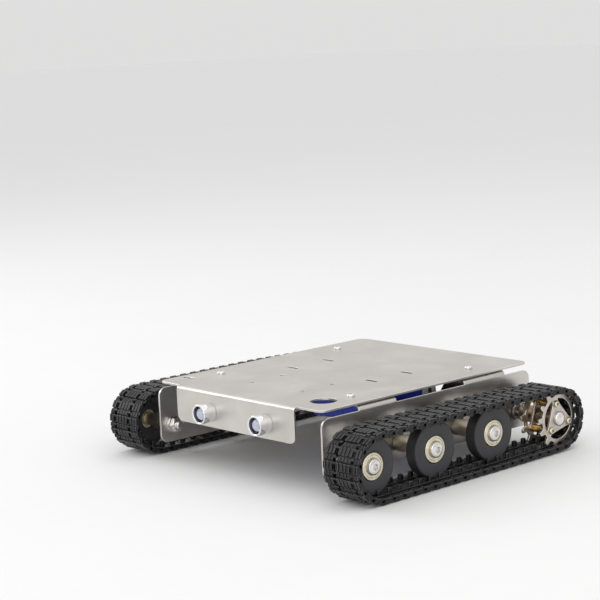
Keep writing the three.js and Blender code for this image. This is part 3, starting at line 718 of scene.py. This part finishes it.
def sprockets():
    for label, centre_hole in (("outer", 2.3), ("inner", 6.8)):
        low, high = node_box(f"left_sprocket_{label}_plate")
        holes = crescents(14.4, 2.9, 5)
        holes.append(circle(0, 0, centre_hole, 40))
        holes += [circle(*polar(POST_CIRCLE, angle), SCREW_HOLE, 24) for angle in POST_ANGLES]
        flat = plate(toothed_rim(17, (high.z - low.z) / 2), holes, high.x - low.x, 0.2)
        shape = mapped(flat, lambda v: (v.z, v.x, v.y))
        centre = ((low.x + high.x) / 2, *SHAFT)
        place_pair(f"sprocket_{label}_plate", shape, PLATE_STEEL, centre)

    outer = node_box("left_sprocket_outer_plate")
    inner = node_box("left_sprocket_inner_plate")
    for index, angle in enumerate(POST_ANGLES):
        low, high = node_box(f"left_sprocket_post_{index + 1}")
        x = [low.x, inner[0].x, inner[1].x, outer[0].x, outer[1].x, high.x]
        profile = softened([
            (x[1] + 0.3, 0), (x[1] + 0.3, 1.5), (x[2] + 0.05, 1.5), (x[2] + 0.05, 2.75),
            (x[3] - 0.05, 2.75), (x[3] - 0.05, 1.5), (x[3] + 0.3, 1.5), (x[3] + 0.3, 0)], 0.15)
        inner_screw = softened([
            (x[0], 0), (x[0], 2.2), (x[0] + 0.4, 2.6), (x[1] - 0.05, 2.6), (x[1] - 0.05, 1.5),
            (x[1] + 0.25, 1.5), (x[1] + 0.25, 0)], 0.15)
        seat = x[4] + 0.05
        outer_screw = button_head(seat, 2.55, x[5] - seat, 0.95, 1.5, x[3] + 0.35)
        centre = Vector(polar(POST_CIRCLE, angle)) + Vector(SHAFT)
        label = f"sprocket_post_{index + 1}"
        place_pair(label, turned(profile, 48), BRASS, (0, *centre))
        screws = joined(turned(inner_screw, 48), turned(outer_screw, 48))
        place_pair(label, screws, BEARING_STEEL, (0, *centre), "screws")

    low, high = node_box("left_sprocket_hub")
    hub = softened([
        (low.x, 3.3), (low.x, 6), (low.x + 0.5, 6.5), (low.x + 4, 6.5), (low.x + 4.6, 6.1),
        (high.x, 6.1), (high.x, 3.3), (low.x, 3.3)], 0.2)
    place_pair("sprocket_hub", turned(hub, 72), HUB_METAL, (0, *SHAFT))

    low, high = node_box("left_sprocket_cap_screw")
    seat = outer[1].x + 0.05
    dome = [(seat + 1 + (high.x - seat - 1) * math.sin(a), 5.1 * math.cos(a))
            for a in (math.pi / 2 * k / 10 for k in range(11))]
    cap = [(low.x, 0), (low.x, 1.7), (low.x + 0.3, 2), (seat, 2), (seat, 4.9), (seat + 0.2, 5.1)] + dome
    cap_screw = turned(cap[:-1] + [(high.x, 0)], 72)
    place_pair("sprocket_cap_screw", cap_screw, BRIGHT_STEEL, (0, *SHAFT))


sprockets()


# ------------------------------------------------------------------ gear motors
def motors():
    low, high = node_box("left_motor_output_shaft")
    shaft = softened([
        (low.x, 0), (low.x, 2.6), (low.x + 0.4, 3), (high.x - 0.4, 3), (high.x, 2.6), (high.x, 0)], 0.1)
    place_pair("motor_output_shaft", turned(shaft, 48), BRIGHT_STEEL, (0, *SHAFT))

    low, high = node_box("left_motor_gearbox")
    face = WALL_OUTER - SHEET - 0.3
    radius = (high.z - low.z) / 2
    body = [(low.x, 0), (low.x, radius)]
    for k in range(3):
        groove = low.x + 4 + k * (face - low.x - 8) / 2
        body += [(groove, radius), (groove + 0.3, radius - 0.35), (groove + 0.7, radius - 0.35)]
        body += [(groove + 1, radius)]
    body += [(face, radius), (face, 0)]
    gearbox = turned(softened(body, 0.3), 96)
    offset = (SHAFT[0] - MOTOR[0], SHAFT[1] - MOTOR[1])
    collar = softened([
        (face - 1, 3.3), (face - 1, 5.5), (high.x - 0.4, 5.5), (high.x, 5.1), (high.x, 3.3),
        (face - 1, 3.3)], 0.2)
    boss = mapped(turned(collar, 64), lambda v: (v.x, v.y + offset[0], v.z + offset[1]))
    screws = []
    for y, z in MOTOR_SCREWS:
        head = turned(button_head(WALL_OUTER + 0.05, 2.7, 1.8, 1.0, 1.5, face - 1), 40)
        across, along = y - MOTOR[0], z - MOTOR[1]
        screws.append(mapped(head, lambda v, a=across, b=along: (v.x, v.y + a, v.z + b)))
    body = joined(gearbox, boss, *screws)
    place_pair("motor_gearbox", body, GEARBOX_METAL, (0, *MOTOR))

    low, high = node_box("left_motor_can")
    radius = (high.z - low.z) / 2
    end = low.x + 2.5
    can = turned(softened([
        (low.x, 0), (low.x, 4.6), (low.x + 0.4, 5), (end, 5), (end, radius - 3.2),
        (end + 0.6, radius - 3.0), (end + 0.6, radius - 2.2), (end, radius - 2.0), (end, radius - 1.2),
        (end + 1.2, radius), (end + 3, radius), (end + 3.3, radius - 0.3),
        (end + 4, radius - 0.3), (end + 4.3, radius), (high.x, radius), (high.x, 0)], 0.25), 96)
    tabs = [block(end - 2.2, end + 0.3, y - 1.4, y + 1.4, -0.35, 0.35, 0.1) for y in (-9.5, 9.5)]
    place_pair("motor_can", joined(can, *tabs), MOTOR_METAL, (0, *MOTOR))


motors()


# ------------------------------------------------------------------ headlights
def headlights():
    for side in ("left", "right"):
        node = f"{side}_headlight_body"
        low, high = node_box(node)
        x, _, z = node_centre(node)
        front = low.y
        radius = (high.x - low.x) / 2
        face = node_box("deck_and_bumper_sheet")[0].y
        back = high.y
        tube = softened([
            (0.35, 5.6), (0, 6.1), (0, radius - 0.35), (0.3, radius), (face - front - 0.1, radius),
            (face - front - 0.1, 4), (back - front - 5, 4), (back - front - 5, 3.2), (back - front, 3.2),
            (back - front, 2.2), (6.4, 2.2), (3.2, 4.6), (0.35, 5.6)], 0.14)
        nut_at = face - front + SHEET + 0.2
        nut = softened([
            (nut_at, 4.05), (nut_at, 6.0, HEX), (nut_at + 0.3, 6.25, HEX), (nut_at + 2.6, 6.25, HEX),
            (nut_at + 2.9, 6.0, HEX), (nut_at + 2.9, 4.05), (nut_at, 4.05)], 0.05, 1)

        def turn(v):
            return v.y, v.x, v.z

        shape = joined(mapped(turned(tube, 96), turn), mapped(turned(nut, 72), turn))
        place(f"{node}_piece", shape, CHROME, node, (x, front, z))

        cone = softened([(0.45, 5.5), (3.3, 4.5), (3.6, 4.5), (0.8, 5.55), (0.45, 5.5)], 0.04, 1)
        place(f"{side}_headlight_reflector", mapped(turned(cone, 96), turn), RIM_METAL,
              node, (x, front, z))

        node = f"{side}_headlight_lens"
        dome = [(3.0 - 2.6 * math.sin(a), 4.25 * math.cos(a))
                for a in (math.pi / 2 * k / 12 for k in range(13))]
        lens = [(3.9, 0), (3.9, 4.4), (3.1, 4.4)] + dome[:-1] + [(0.4, 0)]
        place(f"{node}_piece", mapped(turned(lens, 72), turn), LENS, node, (x, front, z))


headlights()


# ------------------------------------------------------------------ battery and its foam pad
def battery():
    low, high = node_box("battery_pack")
    cells = 3
    sections = 60
    around = 96
    vertices = []
    faces = []
    half_x = (high.x - low.x) / 2
    half_z = (high.z - low.z) / 2
    middle = (low + high) / 2
    length = high.y - low.y
    for s in range(sections + 1):
        t = s / sections
        y = low.y + length * t
        end = min(t, 1 - t) * length
        tuck = max(0.0, 1 - end / 3.0)
        seam = 0.35 * math.exp(-((t - 0.5) * length / 1.4) ** 2)
        for k in range(around):
            angle = 2 * math.pi * k / around
            c, d = math.cos(angle), math.sin(angle)
            x = (half_x - PACK_CORNER) * max(-1.0, min(1.0, 1.35 * c)) + PACK_CORNER * c
            z = half_z * max(-1.0, min(1.0, 1.9 * d))
            waist = 0.55 * (1 - abs(math.cos(math.pi * cells * (x / half_x + 1) / 2 + math.pi / 2)))
            z -= math.copysign(waist if abs(x) < half_x * 0.8 else 0, z)
            shrink = 1 - 0.18 * tuck ** 2
            vertices.append(Vector((middle.x + x * (1 - 0.05 * tuck ** 2),
                                    y, middle.z + (z - math.copysign(seam, z)) * shrink)))
    for s in range(sections):
        for k in range(around):
            j = (k + 1) % around
            faces.append([s * around + k, s * around + j, (s + 1) * around + j, (s + 1) * around + k])
    faces.append(list(range(around))[::-1])
    faces.append([sections * around + k for k in range(around)])
    shape = vertices, faces, [0] * len(faces)
    piece = place("battery_pack_piece", shape, WRAP, "battery_pack")
    piece.data.materials.append(LABEL)
    piece.data.materials.append(LABEL_INK)
    for face in piece.data.polygons:
        y = face.center.y / MM
        if LABEL_START < y < high.y - 1:
            face.material_index = 2 if LABEL_STRIPE[0] < y < LABEL_STRIPE[1] else 1


battery()


def foam_pad():
    low, high = node_box("battery_foam_pad")
    shape = block(low.x, high.x, low.y, high.y, low.z, high.z, 0.3)
    pad = place("battery_foam_pad_piece", shape, FOAM, "battery_foam_pad")


foam_pad()


# ------------------------------------------------------------------ tracks
def belt_segments(circles):
    """Straight runs and arcs of a belt round (y, z, radius) circles, anticlockwise seen from +X."""
    pairs = list(zip(circles, circles[1:] + circles[:1]))
    normals = []
    for (y0, z0, r0), (y1, z1, r1) in pairs:
        heading = math.atan2(z1 - z0, y1 - y0)
        normals.append(heading - math.acos((r0 - r1) / math.hypot(y1 - y0, z1 - z0)))
    segments = []
    for i, (start, end) in enumerate(pairs):
        gap = math.hypot(end[0] - start[0], end[1] - start[1])
        wrap = (normals[(i + 1) % len(normals)] - normals[i]) % (2 * math.pi)
        segments.append((start, normals[i], 0, math.sqrt(gap ** 2 - (start[2] - end[2]) ** 2)))
        segments.append((end, normals[i], wrap, wrap * end[2]))
    return segments


def belt_length(segments):
    return sum(segment[3] for segment in segments)


def hinge_line():
    low, high = node_box("left_front_wheel")
    radius = (high.z - low.z) / 2 + 0.3 + PIN_DEPTH
    front = (*AXLES["front"], radius)
    rear = (*AXLES["rear"], radius)
    pitch_radius = 19.8
    for _ in range(20):
        segments = belt_segments([front, rear, (*SHAFT, pitch_radius), rear])
        pitch_radius = belt_length(segments) / LINK_COUNT / (2 * math.sin(math.pi / TOOTH_COUNT))
    return segments


def hinge_point(segments, distance):
    left = distance % belt_length(segments)
    for circle_, normal, wrap, length in segments:
        if left <= length:
            break
        left -= length
    y, z, radius = circle_
    if wrap:
        angle = normal + left / radius
        return Vector((y + radius * math.cos(angle), z + radius * math.sin(angle)))
    return Vector((y + radius * math.cos(normal) - left * math.sin(normal),
                   z + radius * math.sin(normal) + left * math.cos(normal)))


def link_phase(segments):
    """How far round a link's pin sits so that a link is centred on a sprocket tooth."""
    step = 2 * math.pi / TOOTH_COUNT
    tooth = math.radians(TOOTH_ANGLE) - round(TOOTH_COUNT / 2 + 0.01) * step
    _, normal, _, _ = segments[3]
    arc = (tooth - normal) % step
    return belt_length(segments[:3]) + arc * segments[3][0][2] - belt_length(segments) / LINK_COUNT / 2


def spans(x0, x1, count, gap):
    """A stretch along x shared out between that many blocks, with a gap between neighbours."""
    step = (x1 - x0 + gap) / count
    return [(x0 + k * step, x0 + (k + 1) * step - gap) for k in range(count)]


def link_shape(pitch):
    """One link in (x, u, n): u along the belt from its middle, n outward from the hinge line."""
    half = pitch / 2
    windows = []
    for label in ("inner", "outer"):
        low, high = node_box(f"left_sprocket_{label}_plate")
        windows.append((low.x - WINDOW_GAP, high.x + WINDOW_GAP))
    low, high = node_box("left_track_belt")
    strips = [
        (low.x + 0.1, windows[0][0]),
        (windows[0][1], windows[1][0]),
        (windows[1][1], high.x - 0.1),
    ]
    parts = []
    barrel_end = 1
    for (x0, x1), blocks, knuckles in zip(strips, (3, 4, 2), (4, 5, 3)):
        parts.append(block(x0, x1, -half + 1.0, half - 1.5, -1.7, 1.0, 0.3))
        for a, b in spans(x0, x1, blocks, 0.4):
            parts.append(block(a, b, -half + 0.4, half - 3.4, 0.2, 2.7, 0.35, 0.25))
        for a, b in spans(x0 + 0.9, x1 - 0.1, blocks, 0.4):
            parts.append(block(a, b, half - 2.8, half + 0.15, 0.1, 2.1, 0.3, 0.2))
        # Hinge barrels, alternating between this link and the next.
        for a, b in spans(x0, x1, knuckles, 0.3):
            barrel = turned(softened([(a, 0), (a, 1.55), (b, 1.55), (b, 0)], 0.2, 1), 12)
            parts.append(mapped(barrel, lambda v, end=barrel_end: (v.x, v.y + end * half, v.z)))
            reach = sorted((barrel_end * half, barrel_end * (half - 2.2)))
            parts.append(block(a, b, *reach, -1.5, 1.2, 0.25))
            barrel_end = -barrel_end
        # Hinge pin, open at the windows so that the teeth pass.
        pin = turned(softened([(x0, 0), (x0, 0.75), (x1, 0.75), (x1, 0)], 0.15, 1), 10)
        parts.append(mapped(pin, lambda v: (v.x, v.y - half, v.z)))
    # Bars that close the windows, clear of the teeth.
    for x0, x1 in windows:
        parts.append(block(x0 - 0.25, x1 + 0.25, -half + 0.5, -half + 2.0, 2.02, 2.65, 0.15))
        parts.append(block(x0 - 0.25, x1 + 0.25, half - 2.6, half - 1.3, 2.02, 2.6, 0.15))
    # Guide horns that run beside the wheels.
    for x0, x1 in HORN_SPANS:
        horn = block(x0, x1, -1.7, 1.7, 0, GUIDE_HEIGHT + 0.5, 0.3, 0.15)
        parts.append(mapped(horn, lambda v: (v.x, v.y, 0.5 - PIN_DEPTH - v.z)))
    return joined(*parts)


def tracks():
    segments = hinge_line()
    pitch = belt_length(segments) / LINK_COUNT
    phase = link_phase(segments)
    link = link_shape(pitch)
    links = []
    for i in range(LINK_COUNT):
        start = hinge_point(segments, phase + i * pitch)
        end = hinge_point(segments, phase + (i + 1) * pitch)
        along = (end - start).normalized()
        out = Vector((along.y, -along.x))
        middle = (start + end) / 2
        links.append(mapped(link, lambda v: (
            v.x, middle.x + along.x * v.y + out.x * v.z, middle.y + along.y * v.y + out.y * v.z)))
    place_pair("track_belt", joined(*links), TRACK_PLASTIC)


tracks()


# ------------------------------------------------------------------ floor, light and camera
def stage_surface(name, colour, rough):
    darker = tuple(c * 0.985 for c in colour)
    return surface(name, colour, darker, rough, (60, 60, 60), patch=6, spread=0.02)


def floor():
    mesh = bpy.data.meshes.new("floor")
    size = 12
    corner_points = [(-size, -size, 0), (size, -size, 0), (size, size, 0), (-size, size, 0)]
    mesh.from_pydata(corner_points, [], [(0, 1, 2, 3)])
    mesh.materials.append(stage_surface("floor_paper", (0.80, 0.80, 0.80), 0.75))
    ground = bpy.data.objects.new("floor", mesh)
    ground.location.z = cad_bounds[0][2] - 0.0002
    bpy.context.scene.collection.objects.link(ground)


def soft_light(name, position, target, size, power, tint=(1, 1, 1)):
    data = bpy.data.lights.new(name, "AREA")
    data.shape = "RECTANGLE"
    data.size, data.size_y = size
    data.energy = power
    data.color = tint
    lamp = bpy.data.objects.new(name, data)
    lamp.location = position
    lamp.rotation_euler = (Vector(target) - Vector(position)).to_track_quat("-Z", "Y").to_euler()
    bpy.context.scene.collection.objects.link(lamp)


def world():
    sky = bpy.data.worlds.new("studio")
    sky.use_nodes = True
    nodes = sky.node_tree.nodes
    links = sky.node_tree.links
    at = nodes.new("ShaderNodeTexCoord").outputs["Generated"]
    split = nodes.new("ShaderNodeSeparateXYZ")
    links.new(at, split.inputs[0])
    ramp = nodes.new("ShaderNodeValToRGB")
    stops = ramp.color_ramp.elements
    stops[0].position = 0.0
    stops[0].color = (0.775, 0.774, 0.772, 1)
    stops[1].position = 0.9
    stops[1].color = (1.0, 1.0, 1.0, 1)
    middle = stops.new(0.35)
    middle.color = (0.86, 0.858, 0.855, 1)
    links.new(split.outputs["Z"], ramp.inputs[0])
    background = nodes["Background"]
    links.new(ramp.outputs[0], background.inputs["Color"])
    background.inputs["Strength"].default_value = 0.95
    bpy.context.scene.world = sky
    bpy.context.scene.view_settings.view_transform = "Standard"


def camera():
    data = bpy.data.cameras.new("camera")
    data.sensor_width = 36
    data.lens = 107.39      # millimetres, on the 36 mm sensor
    eye = bpy.data.objects.new("camera", data)
    right = Vector((0.67498, 0.73654, -0.04363))
    up = Vector((-0.08332, 0.13483, 0.98736))
    back = Vector((0.73312, -0.66281, 0.15237))
    eye.matrix_world = Matrix.Translation((0.91132, -0.86081, 0.30318)) @ Matrix(
        (right, up, back)).transposed().to_4x4()
    bpy.context.scene.collection.objects.link(eye)
    bpy.context.scene.camera = eye


floor()
world()
soft_light("overhead", (0.1, -0.1, 1.3), (0, 0, 0), (3.0, 3.0), 8)
soft_light("front_left", (1.2, -1.3, 0.9), (0, 0, 0.02), (2.0, 1.5), 7, (1.0, 0.985, 0.96))
soft_light("side_right", (-1.4, -0.6, 0.8), (0, 0, 0.03), (0.8, 0.6), 5, (0.96, 0.98, 1.0))
camera()
